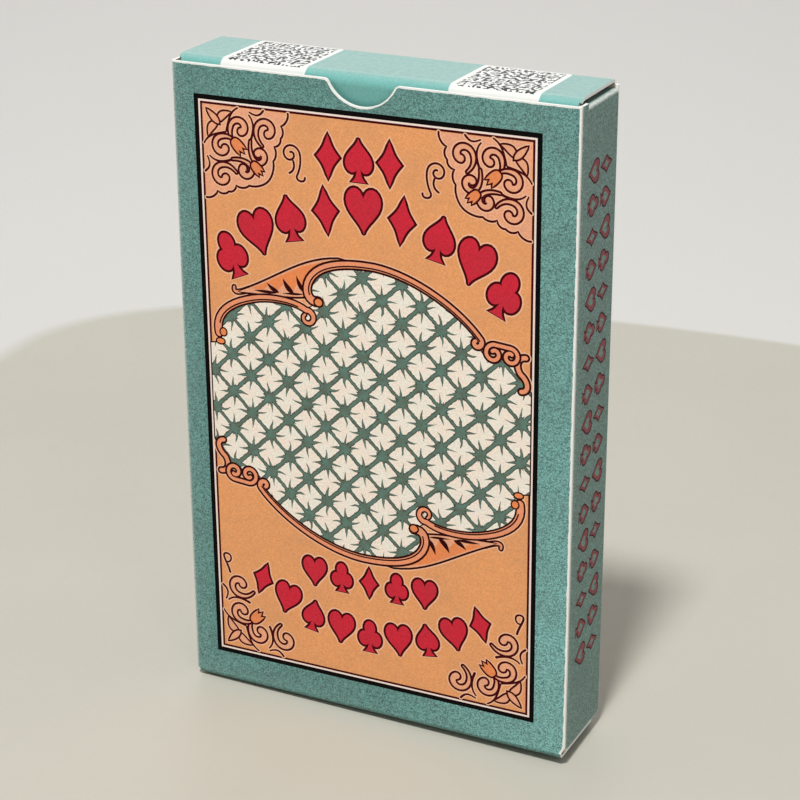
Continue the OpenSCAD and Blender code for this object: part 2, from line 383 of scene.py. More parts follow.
# Border of the lattice panel, round its middle. The lower half is the upper one turned half round.
ARCH = curves(
    (-7.0, 15.5),
    (10, (-8.9, 15.1), (-9.5, 17.9), (-7.2, 19.7)),
    (10, (-5.2, 21.3), (-1.5, 21.6), (1.5, 21.5)),
    (16, (7.5, 21.1), (14.0, 17.3), (16.9, 13.7)),
)
SHELF = curves(
    (-8.9, 14.0),
    (10, (-10.5, 15.1), (-14.5, 15.2), (-17.0, 14.5)),
    (10, (-20.8, 13.5), (-23.3, 11.6), (-22.7, 8.7)),
)


def panel_loop(half):
    """Outline of the lattice panel, whose straight sides stand half a width from its middle."""
    upper = [(half, 7.4), (22.7, 9.4), (21.2, 11.4), (17.4, 11.5), (16.6, 12.5)]
    upper += ARCH[::-1] + SHELF + [(-22.6, 7.3), (-half, 7.0)]
    return upper + [(-x, -y) for x, y in upper]


def acanthus_layers():
    """Long leaf that runs from the arch along the shelf, with lobes and dark cuts at its root."""
    loop = curves(
        (-2.5, 22.0),
        (14, (-9.0, 21.9), (-12.5, 18.2), (-19.3, 15.2)),
        (10, (-16.5, 15.4), (-12.0, 15.4), (-9.3, 15.9)),
        (10, (-9.4, 18.6), (-6.5, 21.2), (-2.5, 22.0)),
    )[:-1]
    tail = bezier((-17.6, 15.8), (-19.2, 15.0), (-20.3, 14.8), (-20.0, 15.8))
    layers = ribbon(tail, 0.5, 0.3, SHELF_LINE) + outlined([loop], "blush", "dark", LEAF_LINE, BORDER_HALO)
    lobes = [(-17.4, 15.95), (-14.7, 17.3), (-12.3, 18.65), (-9.3, 20.2), (-6.0, 21.3),
             (-7.7, 19.8), (-9.0, 18.0), (-9.1, 16.6), (-9.9, 18.2), (-10.9, 16.3),
             (-11.9, 17.7), (-13.2, 16.2), (-14.2, 17.0), (-15.6, 15.9)]
    layers.append((INK, "orange", lobes))
    cuts = (((-9.0, 16.4), (-10.3, 18.8), 0.65, 0.2), ((-10.7, 16.0), (-12.4, 18.1), 0.75, 0.2),
            ((-13.0, 15.9), (-14.9, 17.1), 0.65, 0.15), ((-13.4, 15.8), (-17.0, 15.75), 0.45, 0.0),
            ((-9.3, 16.2), (-12.6, 15.9), 0.35, 0.0))
    return layers + [(INK, "dark", leaf(*cut)) for cut in cuts]


def scroll_layers():
    """Two-lobed scroll and a small wave at the right of the arch."""
    lobes = spiral((18.75, 12.1), 1.3, 0.4, 90, 390)[::-1] + spiral((21.1, 12.0), 1.2, 0.4, 90, -390)
    wave = curves(
        (23.3, 12.2),
        (12, (21.9, 12.2), (21.9, 10.6), (22.6, 9.8)),
        (12, (23.7, 9.0), (23.9, 7.5), (22.7, 7.4)),
    )
    return ribbon(wave, 0.6, 0.6) + ribbon(lobes, 0.5, 0.5)


def border_layers():
    """Upper half of the lattice panel's border."""
    shelf = spiral((-8.75, 12.95), 1.1, 0.55, 100, -330)[::-1] + SHELF[1:]
    arch = ARCH + spiral((16.32, 13.23), 0.75, 0.3, 39, -270)[1:]
    layers = acanthus_layers() + scroll_layers() + ribbon(shelf, 0.3, 1.0, SHELF_LINE)
    layers.append((INK, "dark", stroke(beside(SHELF[2:-2], SHADE_LINE), SHADE_LINE)))
    layers += bead((-22.0, 8.9), 0.9, 1.0) + bead((-22.5, 7.5), 1.2, 0.7)
    layers += ribbon(arch, 1.05, 0.5)
    layers.append((INK, "dark", stroke(beside(ARCH[4:], -SHADE_LINE), SHADE_LINE)))
    return layers + bead((-7.0, 15.4), 1.1, 1.0, 0.26)


def curl(tail, center, outer, start, turn):
    """Layers of a comma: a fine tail that winds into a spiral with a round head."""
    winding = spiral(center, outer, 0.36 * outer, start, turn)
    line = bezier(*tail, winding[0]) + winding[1:]
    return ribbon(line, 0.08, 0.9, PEN_LINE, "maroon", "blush")


def scallops(points, bulge):
    """Bows from place to place, which bulge to the right of their way."""
    line = [points[0]]
    for a, b in zip(points, points[1:]):
        way = np.array(b) - np.array(a)
        side = np.array([way[1], -way[0]]) / np.linalg.norm(way) * bulge
        line += [tuple(p) for p in bezier(a, a + way / 4 + side, a + way * 3 / 4 + side, b, 6)[1:]]
    return line


def bud(base, tip, width):
    """Layers of a tulip from its base to its three points."""
    way = np.array(tip) - np.array(base)
    side = np.array([-way[1], way[0]]) / np.linalg.norm(way) * width / 2
    half = bezier((0.0, 0.0), (-0.05, 1.0), (0.45, 1.15), (1.0, 0.95), 8) + [(0.74, 0.42), (1.1, 0.0)]
    loop = [np.array(base) + way * along + side * across for along, across in half]
    loop += [np.array(base) + way * along - side * across for along, across in half[-2:0:-1]]
    return outlined([[tuple(p) for p in loop]], "orange", "maroon", FINE_LINE, FINE_HALO)


def corner_half(rich):
    """Scrollwork on one side of a corner's diagonal, along the first axis from the corner."""
    layers = petal((2.3, 2.2), (4.3, 0.8), 0.9, -0.3)
    layers += pen(bezier((5.4, 0.1), (4.3, 0.7), (4.0, 1.6), (3.6, 3.4)), 0.26, 0.34)
    layers += pen(bezier((9.3, 0.1), (8.7, 0.9), (8.2, 1.0), (7.2, 0.5)), 0.34, 0.24)
    layers += pen(bezier((7.1, 0.9), (7.8, 1.6), (7.9, 2.8), (7.3, 4.2)), 0.24, 0.4)
    layers += curl(((4.5, 4.5), (4.1, 4.0), (4.1, 3.4)), (5.6, 2.85), 1.4, 180, 240)
    layers += curl(((9.0, 4.9), (8.3, 4.3), (8.0, 3.6)), (9.65, 2.75), 1.5, 180, 240)
    if rich:
        layers += curl(((7.2, 4.4), (7.0, 5.5), (7.2, 6.8)), (8.5, 6.3), 1.05, 115, -240)
    return layers


def corner_layers(rich):
    """Scrollwork of one corner, with a scalloped edge where it is rich."""
    layers = []
    if rich:
        rim = scallops([(13.0, 0.1), (11.9, 1.9), (11.8, 3.6), (10.8, 4.8), (10.6, 6.8), (9.7, 9.7)], 0.45)
        edge = rim + [(y, x) for x, y in rim[-2::-1]]
        layers.append((HALO, "blush", edge + [(0, 0)]))
        layers += pen(edge)
    half = corner_half(rich)
    layers += half + moved(half, lambda x, y: (y, x))
    layers += petal((2.5, 2.5), (0.7, 0.7), 0.8)
    layers += bud((4.5, 4.5), (6.0, 6.0), 1.4)
    if rich:
        layers += bud((7.4, 7.4), (8.7, 8.7), 1.2)
    else:
        drop = curves(
            (1.3, 11.4),
            (10, (1.0, 12.8), (-0.2, 14.0), (0.8, 14.2)),
            (10, (1.9, 14.3), (1.6, 12.8), (0.9, 12.9)),
        )
        layers += pen(drop, 0.36, 0.26)
    return layers


def tendril_layers():
    """Free curl beside the upper row of pips, placed from the corner."""
    stem = curves(
        (14.65, 5.5),
        (12, (14.8, 6.6), (14.5, 7.6), (14.1, 8.4)),
        (12, (13.9, 9.2), (15.4, 9.3), (15.3, 8.5)),
    )
    line = spiral((13.2, 5.5), 1.45, 0.3, 0, -450)[::-1] + stem[1:]
    return pen(line) + pen(bezier((13.6, 6.4), (13.9, 7.2), (13.6, 7.8), (13.0, 8.1)))


def pip_row(kinds, spacing, center, size):
    """Pips side by side round a center."""
    layers = []
    for n, kind in enumerate(kinds):
        layers += pip(kind, (center[0] + spacing * (n - (len(kinds) - 1) / 2), center[1]), size)
    return layers


def pip_arc(kinds, center, radius, step, size, below=False):
    """Pips along an arc over its center, or below it, each turned halfway with the arc."""
    layers = []
    side = -1 if below else 1
    for n, kind in enumerate(kinds):
        turn = step * (n - (len(kinds) - 1) / 2)
        angle = math.radians(turn)
        place = (center[0] + radius * math.sin(angle), center[1] + side * radius * math.cos(angle))
        layers += pip(kind, place, size, -side * turn / 2)
    return layers


def front_layers():
    """Whole print of the front, a little askew on its panel."""
    layers = frame_layers(FRAME_LEFT, FRAME_LOW, FRAME_RIGHT, FRAME_HIGH)
    inset = RULE_W + PALE_W + THIN_W
    left, right = FRAME_LEFT + inset, FRAME_RIGHT - inset
    low, high = FRAME_LOW + inset, FRAME_HIGH - inset
    upper = corner_layers(True) + tendril_layers()
    lower = moved(corner_layers(False), lambda x, y: (LOWER_SCALE * x, LOWER_SCALE * y))
    layers += moved(upper, lambda x, y: (left + x, high - y))
    layers += moved(upper, lambda x, y: (right - x, high - y))
    layers += moved(lower, lambda x, y: (left + x, low + y))
    layers += moved(lower, lambda x, y: (right - x, low + y))
    layers += pip_row("dsd", spacing=4.5, center=(MIDDLE_X - 0.6, 82.0), size=6.0)
    layers += pip_arc("chsdhdshc", (MIDDLE_X, 46.9), radius=28.2, step=11.5, size=6.4)
    layers += pip_row("hcdch", spacing=4.3, center=(MIDDLE_X, 20.9), size=4.5)
    layers += pip_arc("dhshchshd", (MIDDLE_X, 41.2), radius=28.7, step=9.1, size=4.9, below=True)
    panel = panel_loop((FRAME_RIGHT - FRAME_LEFT) / 2 - PANEL_INSET)
    border = [(INK, "dark", grow(panel, FRONT_LATTICE_LINE)), (INK, "lattice", panel)]
    half = border_layers()
    border += half + moved(half, lambda x, y: (-x, -y))
    layers += moved(border, lambda x, y: (MIDDLE_X + x, MIDDLE_Z + y))
    middle = (0.0, (FRAME_LOW + FRAME_HIGH) / 2)
    layers = moved(layers, lambda x, y: (x - middle[0], y - middle[1]))
    return [(level, name, turned(loop, middle, 1.0, PRINT_TILT)) for level, name, loop in layers]


def side_layers(middle):
    """Two columns of hollow pips that lie on their sides, up a side panel with this middle line."""
    layers = []
    top, pitch, count = 83.0, 4.3, 17
    size, core, line_w = 3.6, 1.9, 0.24
    kinds, lying = "hcds", -90
    for column, shift in ((-1.9, 0), (2.5, 2)):
        for n in range(count):
            kind = kinds[(n + shift) % len(kinds)]
            place = (middle + column, top - pitch * n)
            layers += pip(kind, place, size, lying, "side_red", "side_dark", line_w, 0.0)
            layers += [(INK, "teal_side", loop) for loop in pip_loops(kind, place, core, lying)]
    return layers


def back_layers():
    """Frame and lattice of the back, which nothing else is printed on."""
    left, right = -FRAME_RIGHT, -FRAME_LEFT
    layers = frame_layers(left, FRAME_LOW, right, FRAME_HIGH)
    inset = BACK_INSET
    panel = rectangle(left + inset, FRAME_LOW + inset, right - inset, FRAME_HIGH - inset)
    return layers + [(INK, "dark", grow(panel, BACK_LATTICE_LINE)), (INK, "lattice", panel)]


def patch_layers(begin, end, round_end):
    """White patches across the lid or the tongue, each filled with a dark wriggling ground."""
    layers = []
    r = PATCH_R
    for left, right in PATCHES:
        near, far = [(begin, left), (begin, right)], [(end, right), (end, left)]
        low, high = left + PATCH_EDGE, right - PATCH_EDGE
        if round_end:
            far = arc((end - r, right - r), r, 90, 0, 5) + arc((end - r, left + r), r, 0, -90, 5)
            field = rectangle(begin, low, PATCH_FIELD_END, high)
        else:
            near = arc((begin + r, left + r), r, 270, 180, 5) + arc((begin + r, right - r), r, 180, 90, 5)
            field = rectangle(begin + PATCH_EDGE, low, end, high)
        layers += [(INK, "white", near + far), (INK, "squiggle", field)]
    return layers


# Folded sheets

class Path:
    """Outer line of a sheet's section. Its outside lies right of the heading, and its bends turn left.

    Each part is a straight length, or the radius and the turn of a bend.
    """

    def __init__(self, start, heading, parts, first=0.0):
        self.parts, self.first, self.last = [], first, first
        point, angle = Vector(start), math.radians(heading)
        for size, *turn in parts:
            radius, swing = (size, math.radians(*turn)) if turn else (0.0, 0.0)
            begin = self.last
            self.last += radius * swing if turn else size
            self.parts.append((begin, self.last, point - radius * self.outward(angle), angle, radius))
            point = self.place(self.last, 0.0)
            angle += swing

    @staticmethod
    def outward(angle):
        return Vector((math.sin(angle), -math.cos(angle)))

    def place(self, u, depth):
        """Point of the section at u, at a depth under the outer face."""
        for begin, end, origin, angle, radius in self.parts:
            if u <= end or end == self.last:
                break
        if radius:
            return origin + (radius - depth) * self.outward(angle + (u - begin) / radius)
        along = Vector((math.cos(angle), math.sin(angle)))
        return origin + (u - begin) * along - depth * self.outward(angle)

    def bends(self):
        return [(begin, end) for begin, end, _, _, radius in self.parts if radius]

    def crossings(self):
        """Where the mesh is cut across, at each step of a bend and just beside it."""
        values = []
        for begin, end in self.bends():
            values += [begin - GUARD, end + GUARD]
            values += [begin + (end - begin) * i / BEND_STEPS for i in range(BEND_STEPS + 1)]
        return [u for u in values if self.first < u < self.last]

    def wear(self, u):
        """How much a fold is rubbed at u, highest at the middle of a bend."""
        reach = 0.32
        return max([math.exp(-(((u - (a + b) / 2) / reach) ** 2)) for a, b in self.bends()] or [0.0])


def inside(loop, points):
    """Which points lie within a closed outline, by their winding number."""
    shape = np.array(loop)
    low, high = shape.min(axis=0), shape.max(axis=0)
    near = np.nonzero(np.all((points >= low) & (points <= high), axis=1))[0]
    result = np.zeros(len(points), bool)
    px, py = points[near, 0][:, None], points[near, 1][:, None]
    a, b = shape, np.roll(shape, -1, axis=0)
    cross = (b[:, 0] - a[:, 0]) * (py - a[:, 1]) - (px - a[:, 0]) * (b[:, 1] - a[:, 1])
    up = (a[:, 1] <= py) & (b[:, 1] > py) & (cross > 0)
    down = (a[:, 1] > py) & (b[:, 1] <= py) & (cross < 0)
    result[near] = (up.sum(axis=1) - down.sum(axis=1)) != 0
    return result


def ring_edges(loops):
    """Points of closed outlines and the edges that join them."""
    points, edges = [], []
    for loop in loops:
        first = len(points)
        points += [tuple(p) for p in loop]
        edges += [(first + i, first + (i + 1) % len(loop)) for i in range(len(loop))]
    return points, edges


def cut(points, edges, lines):
    """Triangles of the plane, cut along the given edges and along open lines."""
    corners = [Vector(p) for p in points]
    sides = list(edges)
    for a, b in lines:
        sides.append((len(corners), len(corners) + 1))
        corners += [Vector(a), Vector(b)]
    places, _, faces, *_ = geometry.delaunay_2d_cdt(corners, sides, [], 0, MERGE)
    places = np.array([tuple(p) for p in places])
    faces = np.array([f for f in faces if len(f) == 3])
    a, b, c = (places[faces[:, k]] for k in range(3))
    area = (b[:, 0] - a[:, 0]) * (c[:, 1] - a[:, 1]) - (c[:, 0] - a[:, 0]) * (b[:, 1] - a[:, 1])
    faces[area < 0] = faces[area < 0][:, ::-1]
    return places, faces[area != 0]


def rim_edges(faces):
    """Directed edges that only one triangle has."""
    edges = {(f[i], f[(i + 1) % 3]) for f in faces.tolist() for i in range(3)}
    return sorted(e for e in edges if (e[1], e[0]) not in edges)


def sheet(name, path, axes, outline, layers=(), ground="teal", wear=1.0):
    """Mesh object of a folded sheet: printed face, back face and cut edges."""
    shape = np.array(outline)
    low, high = shape[:, 1].min() - 1, shape[:, 1].max() + 1
    lines = [((u, low), (u, high)) for u in path.crossings()]
    layers = sorted(layers, key=lambda layer: layer[0])
    places, faces = cut(*ring_edges([outline] + [loop for _, _, loop in layers]), lines)
    faces = faces[inside(outline, places[faces].mean(axis=1))]
    centers = places[faces].mean(axis=1)
    inks = np.array([ground] * len(faces), dtype=object)
    for _, kind, loop in layers:
        inks[inside(loop, centers)] = kind
    rim = rim_edges(faces)
    used = sorted({i for e in rim for i in e})
    local = {i: n for n, i in enumerate(used)}
    inner_places, inner_faces = cut(places[used], [(local[a], local[b]) for a, b in rim], lines)
    inner_faces = inner_faces[inside(outline, inner_places[inner_faces].mean(axis=1))]

    flat = [(u, v, 0.0) for u, v in places.tolist()] + [(u, v, BOARD) for u, v in inner_places.tolist()]
    under = {(round(u, 3), round(v, 3)): n + len(places) for n, (u, v) in enumerate(inner_places)}
    below = {i: under[(round(places[i][0], 3), round(places[i][1], 3))] for i in used}
    polygons = [tuple(f) for f in faces.tolist()]
    polygons += [tuple(int(i) + len(places) for i in f[::-1]) for f in inner_faces]
    polygons += [(a, below[a], below[b], b) for a, b in rim]
    names = list(inks) + ["bare"] * len(inner_faces) + ["raw"] * len(rim)
    return mesh_object(name, path, axes, flat, polygons, names, wear)


def put_in_scene(name, data):
    """Object that holds the data, linked to the scene."""
    piece = bpy.data.objects.new(name, data)
    bpy.context.scene.collection.objects.link(piece)
    return piece


def mesh_object(name, path, axes, flat, polygons, names, wear):
    """Object from flat points, with its flat places and its wear kept on the points."""
    used = sorted({i for p in polygons for i in p})
    fresh = {i: n for n, i in enumerate(used)}
    flat = [flat[i] for i in used]
    order = [axes.index(axis) for axis in "xyz"]
    points = []
    for u, v, depth in flat:
        a, b = path.place(u, depth)
        points.append([(a, b, v)[k] * MM for k in order])
    mesh = bpy.data.meshes.new(name)
    mesh.from_pydata(points, [], [[fresh[i] for i in p] for p in polygons])
    kinds = sorted(set(names))
    for kind in kinds:
        mesh.materials.append(material(kind))
    mesh.polygons.foreach_set("material_index", [kinds.index(n) for n in names])
    place = mesh.attributes.new("flat", "FLOAT_VECTOR", "POINT")
    place.data.foreach_set("vector", np.array(flat, np.float32).ravel())
    rub = mesh.attributes.new("wear", "FLOAT", "POINT")
    rub.data.foreach_set("value", [wear * path.wear(u) for u, _, _ in flat])
    mesh.shade_smooth()
    mesh.set_sharp_from_angle(angle=SHARP_ANGLE)
    mesh.validate()
    return put_in_scene(name, mesh)


# Materials
RAW_WHITE = (240, 240, 234)
PATCH_WHITE, PATCH_DARK = (226, 226, 222), (44, 44, 46)
INK_GLOSS, INK_ROUGH = 0.2, 0.5
GRAIN_SIZE = 0.15

# Colour, grain, blotches and gloss of each ink
INKS = {
    "teal": ((96, 140, 134), 0.55, 0.3, 0.25),
    # Painted light: the lid's teal is a lighter copy of the teal, painted for the stronger light from above
    # on the lid
    "teal_lid": ((126, 166, 160), 0.1, 0.1, 0.5),
    # Painted light: the tongue's teal is a lighter copy of the teal, painted for how its fold is lit, with
    # a painted highlight at its crown
    "teal_tongue": ((108, 172, 165), 0.1, 0.1, 0.5),
    # Painted light: the sides' teal is a greyer copy of the teal, a painted reflection of the floor on the
    # shaded sides
    "teal_side": ((104, 136, 130), 0.55, 0.3, 0.3),
    "black": ((8, 6, 6), 0.2, 0.1, 0.05),
    "pale": ((246, 224, 214), 0.06, 0.1, 0.2),
    "halo": ((246, 188, 152), 0.06, 0.1, 0.2),
    "maroon": ((68, 4, 10), 0.15, 0.1, 0.05),
    "apricot": ((234, 160, 104), 0.12, 0.2, 0.2),
    "blush": ((240, 168, 130), 0.12, 0.2, 0.2),
    "red": ((208, 42, 60), 0.14, 0.2, 0.08),
    "orange": ((240, 140, 84), 0.1, 0.2, 0.15),
    "coral": ((240, 152, 112), 0.1, 0.2, 0.15),
    "dark": ((48, 6, 8), 0.15, 0.1, 0.05),
    "white": (PATCH_WHITE, 0.02, 0.05, 0.3),
    "side_red": ((140, 70, 76), 0.14, 0.2, 0.1),
    "side_dark": ((72, 26, 34), 0.14, 0.1, 0.05),
}

# Painted light: inks painted paler where light falls brighter, the teal towards the right and the foot of
# the front, and the tongue's teal in a painted highlight at the crown of its fold.
# Each has its pale colour and the stretches of u and v over which it pales.
PAINTED_LIGHT = {
    "teal": ((124, 176, 172), (0.0, 26.0), (85.0, 15.0, 0.2, 0.8)),
    "teal_tongue": ((143, 180, 174), (1.3, 0.3), (-LID_X, LID_X, 1.0, 1.0)),
}

# The lattice's tones, and the sizes of its bands and of its stars. A star has a round body,
# with spikes and longer arms that are given by their count, sharpness and length.
LATTICE_GROUND = ((254, 238, 222), (250, 242, 228))
LATTICE_GREEN = ((94, 130, 118), (90, 106, 92))
LATTICE_DARK = (56, 66, 58)
LATTICE_SPECKS = (120, 112, 100)
LATTICE_LINE = 0.12
BAND_HALVES = (0.27, 0.34)
STAR_R = 0.84
STAR_SPIKES = (12, 2.4, 0.36)
STAR_ARMS = (4, 6.0, 1.15)


def linear(rgb, share=1.0):
    """Scene colour of a colour given in 0 to 255, lightened or darkened by a share."""
    color = []
    for c in (min(1.0, value / 255) for value in rgb):
        level = c / 12.92 if c <= 0.04045 else ((c + 0.055) / 1.055) ** 2.4
        color.append(min(1.0, share * level))
    return color + [1.0]


class Net:
    """Shader nodes of a material or of the world."""

    def __init__(self, owner):
        owner.use_nodes = True
        self.owner = owner
        self.tree = owner.node_tree

    def feed(self, socket, value):
        if isinstance(value, bpy.types.NodeSocket):
            self.tree.links.new(value, socket)
        else:
            socket.default_value = value

    def node(self, kind, **values):
        """A new node, with values for some of its inputs."""
        node = self.tree.nodes.new("ShaderNode" + kind)
        for name, value in values.items():
            self.feed(node.inputs[name], value)
        return node

    def math(self, operation, *values):
        node = self.node("Math")
        node.operation = operation
        for socket, value in zip(node.inputs, values):
            self.feed(socket, value)
        return node.outputs[0]

    def apart(self, value, start, unit):
        """How far a value lies past its start, in units."""
        return self.math("DIVIDE", self.math("SUBTRACT", value, start), unit)

    def length(self, x, y):
        return self.math("SQRT", self.math("MULTIPLY_ADD", x, x, self.math("MULTIPLY", y, y)))

    def split(self, vector):
        return self.node("SeparateXYZ", Vector=vector).outputs

    def ramp(self, value, low, high, to_low=0.0, to_high=1.0):
        node = self.node("MapRange")
        for socket, number in zip(node.inputs, (value, low, high, to_low, to_high)):
            self.feed(socket, number)
        return node.outputs[0]

    def mix(self, share, a, b):
        node = self.node("Mix")
        node.data_type = "RGBA"
        for socket, value in zip((0, 6, 7), (share, a, b)):
            self.feed(node.inputs[socket], value)
        return node.outputs[2]


class Look(Net):
    """Nodes of one material. Its places are millimetres, on a sheet or in the frame."""

    def __init__(self, name, on_sheet=True, gloss=None):
        super().__init__(bpy.data.materials.new(name))
        self.shader = self.tree.nodes["Principled BSDF"]
        if gloss is not None:
            self.shader.inputs["Specular IOR Level"].default_value = gloss
        if on_sheet:
            self.places = self.attribute("flat", "Vector")
        else:
            scale = self.node("VectorMath")
            scale.operation = "SCALE"
            self.feed(scale.inputs["Scale"], 1 / MM)
            self.feed(scale.inputs[0], self.node("TexCoord").outputs["Object"])
            self.places = scale.outputs[0]

    def attribute(self, name, output):
        node = self.node("Attribute")
        node.attribute_name = name
        return node.outputs[output]

    def noise(self, size, detail=2.0, rough=0.5):
        node = self.node("TexNoise", Vector=self.places, Scale=1 / size, Detail=detail, Roughness=rough)
        return node.outputs["Fac"]

    def cells(self, size):
        """A value from 0 to 1 of its own for each small cell."""
        node = self.node("TexVoronoi", Vector=self.places, Scale=1 / size)
        return self.split(node.outputs["Color"])[0]

    def grained(self, rgb, grain):
        """A colour whose small cells are each darker or lighter by up to a share."""
        return self.mix(self.cells(GRAIN_SIZE), linear(rgb, 1 - grain), linear(rgb, 1 + grain))

    def mottled(self, a, b, size, detail=3.0, rough=0.5, low=0.3, share=1.0):
        """Two colours that run into each other in spots of a size."""
        spots = self.ramp(self.noise(size, detail, rough), low, 1 - low)
        return self.mix(spots, linear(a, share), linear(b, share))

    def finish(self, color, rough, tooth=0.12, depth=0.006):
        """Sets colour, an uneven gloss and a fine tooth of a size and depth, and returns the material."""
        gloss = self.ramp(self.noise(0.9, 3.0), 0.3, 0.7, rough - 0.07, rough + 0.07)
        bump = self.node("Bump", Strength=0.5, Distance=depth * MM, Height=self.noise(tooth, 3.0, 0.6))
        for name, value in (("Base Color", color), ("Roughness", gloss), ("Normal", bump.outputs[0])):
            self.feed(self.shader.inputs[name], value)
        return self.owner


def ink(name, rgb, grain, blotch, gloss):
    """Printed ink: fine specks, broad greyer patches, and board showing where a fold is rubbed."""
    net = Look(name, gloss=gloss)
    color = net.grained(rgb, grain)
    # Painted light: an ink listed there is painted paler over stretches of u and v
    if name in PAINTED_LIGHT:
        pale, light_u, light_v = PAINTED_LIGHT[name]
        u, v, _ = net.split(net.places)
        share = net.math("MULTIPLY", net.ramp(u, *light_u), net.ramp(v, *light_v))
        color = net.mix(share, color, net.grained(pale, grain))
    patches = net.ramp(net.noise(7.0, 4.0, 0.6), 0.42, 0.72, 0.0, blotch)
    grey = sum(rgb) / 3
    color = net.mix(patches, color, linear([0.4 * c + 0.45 * grey for c in rgb]))
    rubbed = net.ramp(net.noise(0.45, 3.0, 0.6), 0.3, 0.5, 0.35, 1.0)
    color = net.mix(net.math("MULTIPLY", rubbed, net.attribute("wear", "Fac")), color, linear(RAW_WHITE))
    return net.finish(color, INK_ROUGH)


def lattice_color(net, across, along):
    """Colour of a ground of spiky stars joined by two ways of bands, at places in millimetres."""
    a, b = (net.apart(*place) for place in zip((across, along), LATTICE_START, LATTICE_PITCH))
    slope = math.hypot(1 / LATTICE_PITCH[0], 1 / LATTICE_PITCH[1])
    falling = net.math("WRAP", net.math("ADD", a, b), 1.0, -1.0)
    rising = net.math("WRAP", net.math("SUBTRACT", a, b), 1.0, -1.0)
    bands = []
    for way, half in zip((falling, rising), BAND_HALVES):
        off = net.math("DIVIDE", net.math("ABSOLUTE", way), slope)
        bands.append(net.math("SUBTRACT", half, off))
    dx = net.math("MULTIPLY", net.math("ADD", falling, rising), LATTICE_PITCH[0] / 2)
    dz = net.math("MULTIPLY", net.math("SUBTRACT", falling, rising), LATTICE_PITCH[1] / 2)
    turn = net.ramp(net.noise(3.5, 1.0), 0.3, 0.7, -0.28, 0.16)
    angle = net.math("ADD", net.math("ARCTAN2", dz, dx), turn)

    def rays(reach, count, power, length):
        """The reach, longer along each ray by a length that falls off to 0 between them."""
        off = net.math("PINGPONG", net.math("MULTIPLY", angle, count / (2 * math.pi)), 0.5)
        share = net.math("POWER", net.math("MULTIPLY_ADD", off, -2.0, 1.0), power)
        return net.math("MULTIPLY_ADD", share, length, reach)

    reach = rays(rays(STAR_R, *STAR_SPIKES), *STAR_ARMS)
    star = net.math("MULTIPLY", net.math("SUBTRACT", reach, net.length(dx, dz)), 0.5)
    shake = net.ramp(net.noise(0.5, 3.0), 0.3, 0.7, -0.07, 0.07)
    shape = net.math("ADD", net.math("MAXIMUM", net.math("MAXIMUM", *bands), star), shake)
    ground = net.mottled(*LATTICE_GROUND, 2.4, 2.0, low=0.4)
    green = net.mottled(*LATTICE_GREEN, 1.1, low=0.35)
    color = net.mix(net.math("GREATER_THAN", shape, 0.0), ground, linear(LATTICE_DARK))
    return net.mix(net.math("GREATER_THAN", shape, LATTICE_LINE), color, green)


def lattice():
    net = Look("lattice", gloss=INK_GLOSS)
    u, v, _ = net.split(net.places)
    specks = net.ramp(net.noise(0.3, 1.0, 0.6), 0.36, 0.64, 0.0, 0.16)
    return net.finish(net.mix(specks, lattice_color(net, u, v), linear(LATTICE_SPECKS)), INK_ROUGH)


def squiggle():
    """Dense dark squiggles on white."""
    net = Look("squiggle", gloss=INK_GLOSS)
    dark = net.math("LESS_THAN", net.noise(0.6, 1.0, 0.4), 0.495)
    return net.finish(net.mix(dark, linear(PATCH_WHITE), linear(PATCH_DARK)), INK_ROUGH)


def raw_edge():
    """Cut edge of the board: pale layered fibres."""
    net = Look("raw")
    color = net.mottled((226, 225, 219), (250, 250, 247), 0.16, rough=0.7)
    return net.finish(color, 0.8, tooth=0.1, depth=0.02)


def bare_board():
    """Unprinted inner side of the board, greyish with loose fibres."""
    net = Look("bare")
    color = net.mottled((198, 193, 182), (220, 216, 207), 0.35, 4.0, 0.7)
    flecks = net.math("GREATER_THAN", net.noise(0.7, 2.0), 0.7)
    color = net.mix(net.math("MULTIPLY", flecks, 0.5), color, linear((160, 150, 135)))
    return net.finish(color, 0.75, tooth=0.25, depth=0.015)


SPECIAL = {"lattice": lattice, "squiggle": squiggle, "raw": raw_edge, "bare": bare_board}


@functools.cache
def material(kind):
    """The material of a kind of ink or board, made once."""
    return SPECIAL[kind]() if kind in SPECIAL else ink(kind, *INKS[kind])


# Panels of the carton

def ragged(edge, width):
    """Strip along a cut edge where the print has chipped off, its inner side uneven."""
    line = []
    for a, b in zip(edge, edge[1:]):
        steps = max(1, int(math.dist(a, b) / CHIP_STEP))
        line += [tuple(a[k] + (b[k] - a[k]) * i / steps for k in (0, 1)) for i in range(steps)]
    line.append(edge[-1])
    inward = lefts(line)
    depths = np.array([width * rng.uniform(*CHIP_SPREAD) for _ in line])[:, None]
    points = np.array(line)
    return (points - CHIP_OVERHANG * inward).tolist() + (points + depths * inward).tolist()[::-1]


def notch_edge():
    """Cut line of the thumb notch, from its right shoulder to its left one."""
    radius = (NOTCH_W ** 2 / 4 + NOTCH_DEPTH ** 2) / (2 * NOTCH_DEPTH)
    center_z = FRONT_TOP - NOTCH_DEPTH + radius
    rise = center_z - FRONT_TOP + SHOULDER_R
    reach = math.sqrt((radius + SHOULDER_R) ** 2 - rise ** 2)
    tilt = math.degrees(math.atan2(rise, reach))
    right = arc((reach, FRONT_TOP - SHOULDER_R), SHOULDER_R, 90, 180 - tilt, 8)
    right += arc((0, center_z), radius, -tilt, -90, 16)[1:]
    left = [(-x, z) for x, z in right[::-1]]
    return [(NOTCH_X + x, z) for x, z in right + left[1:]]


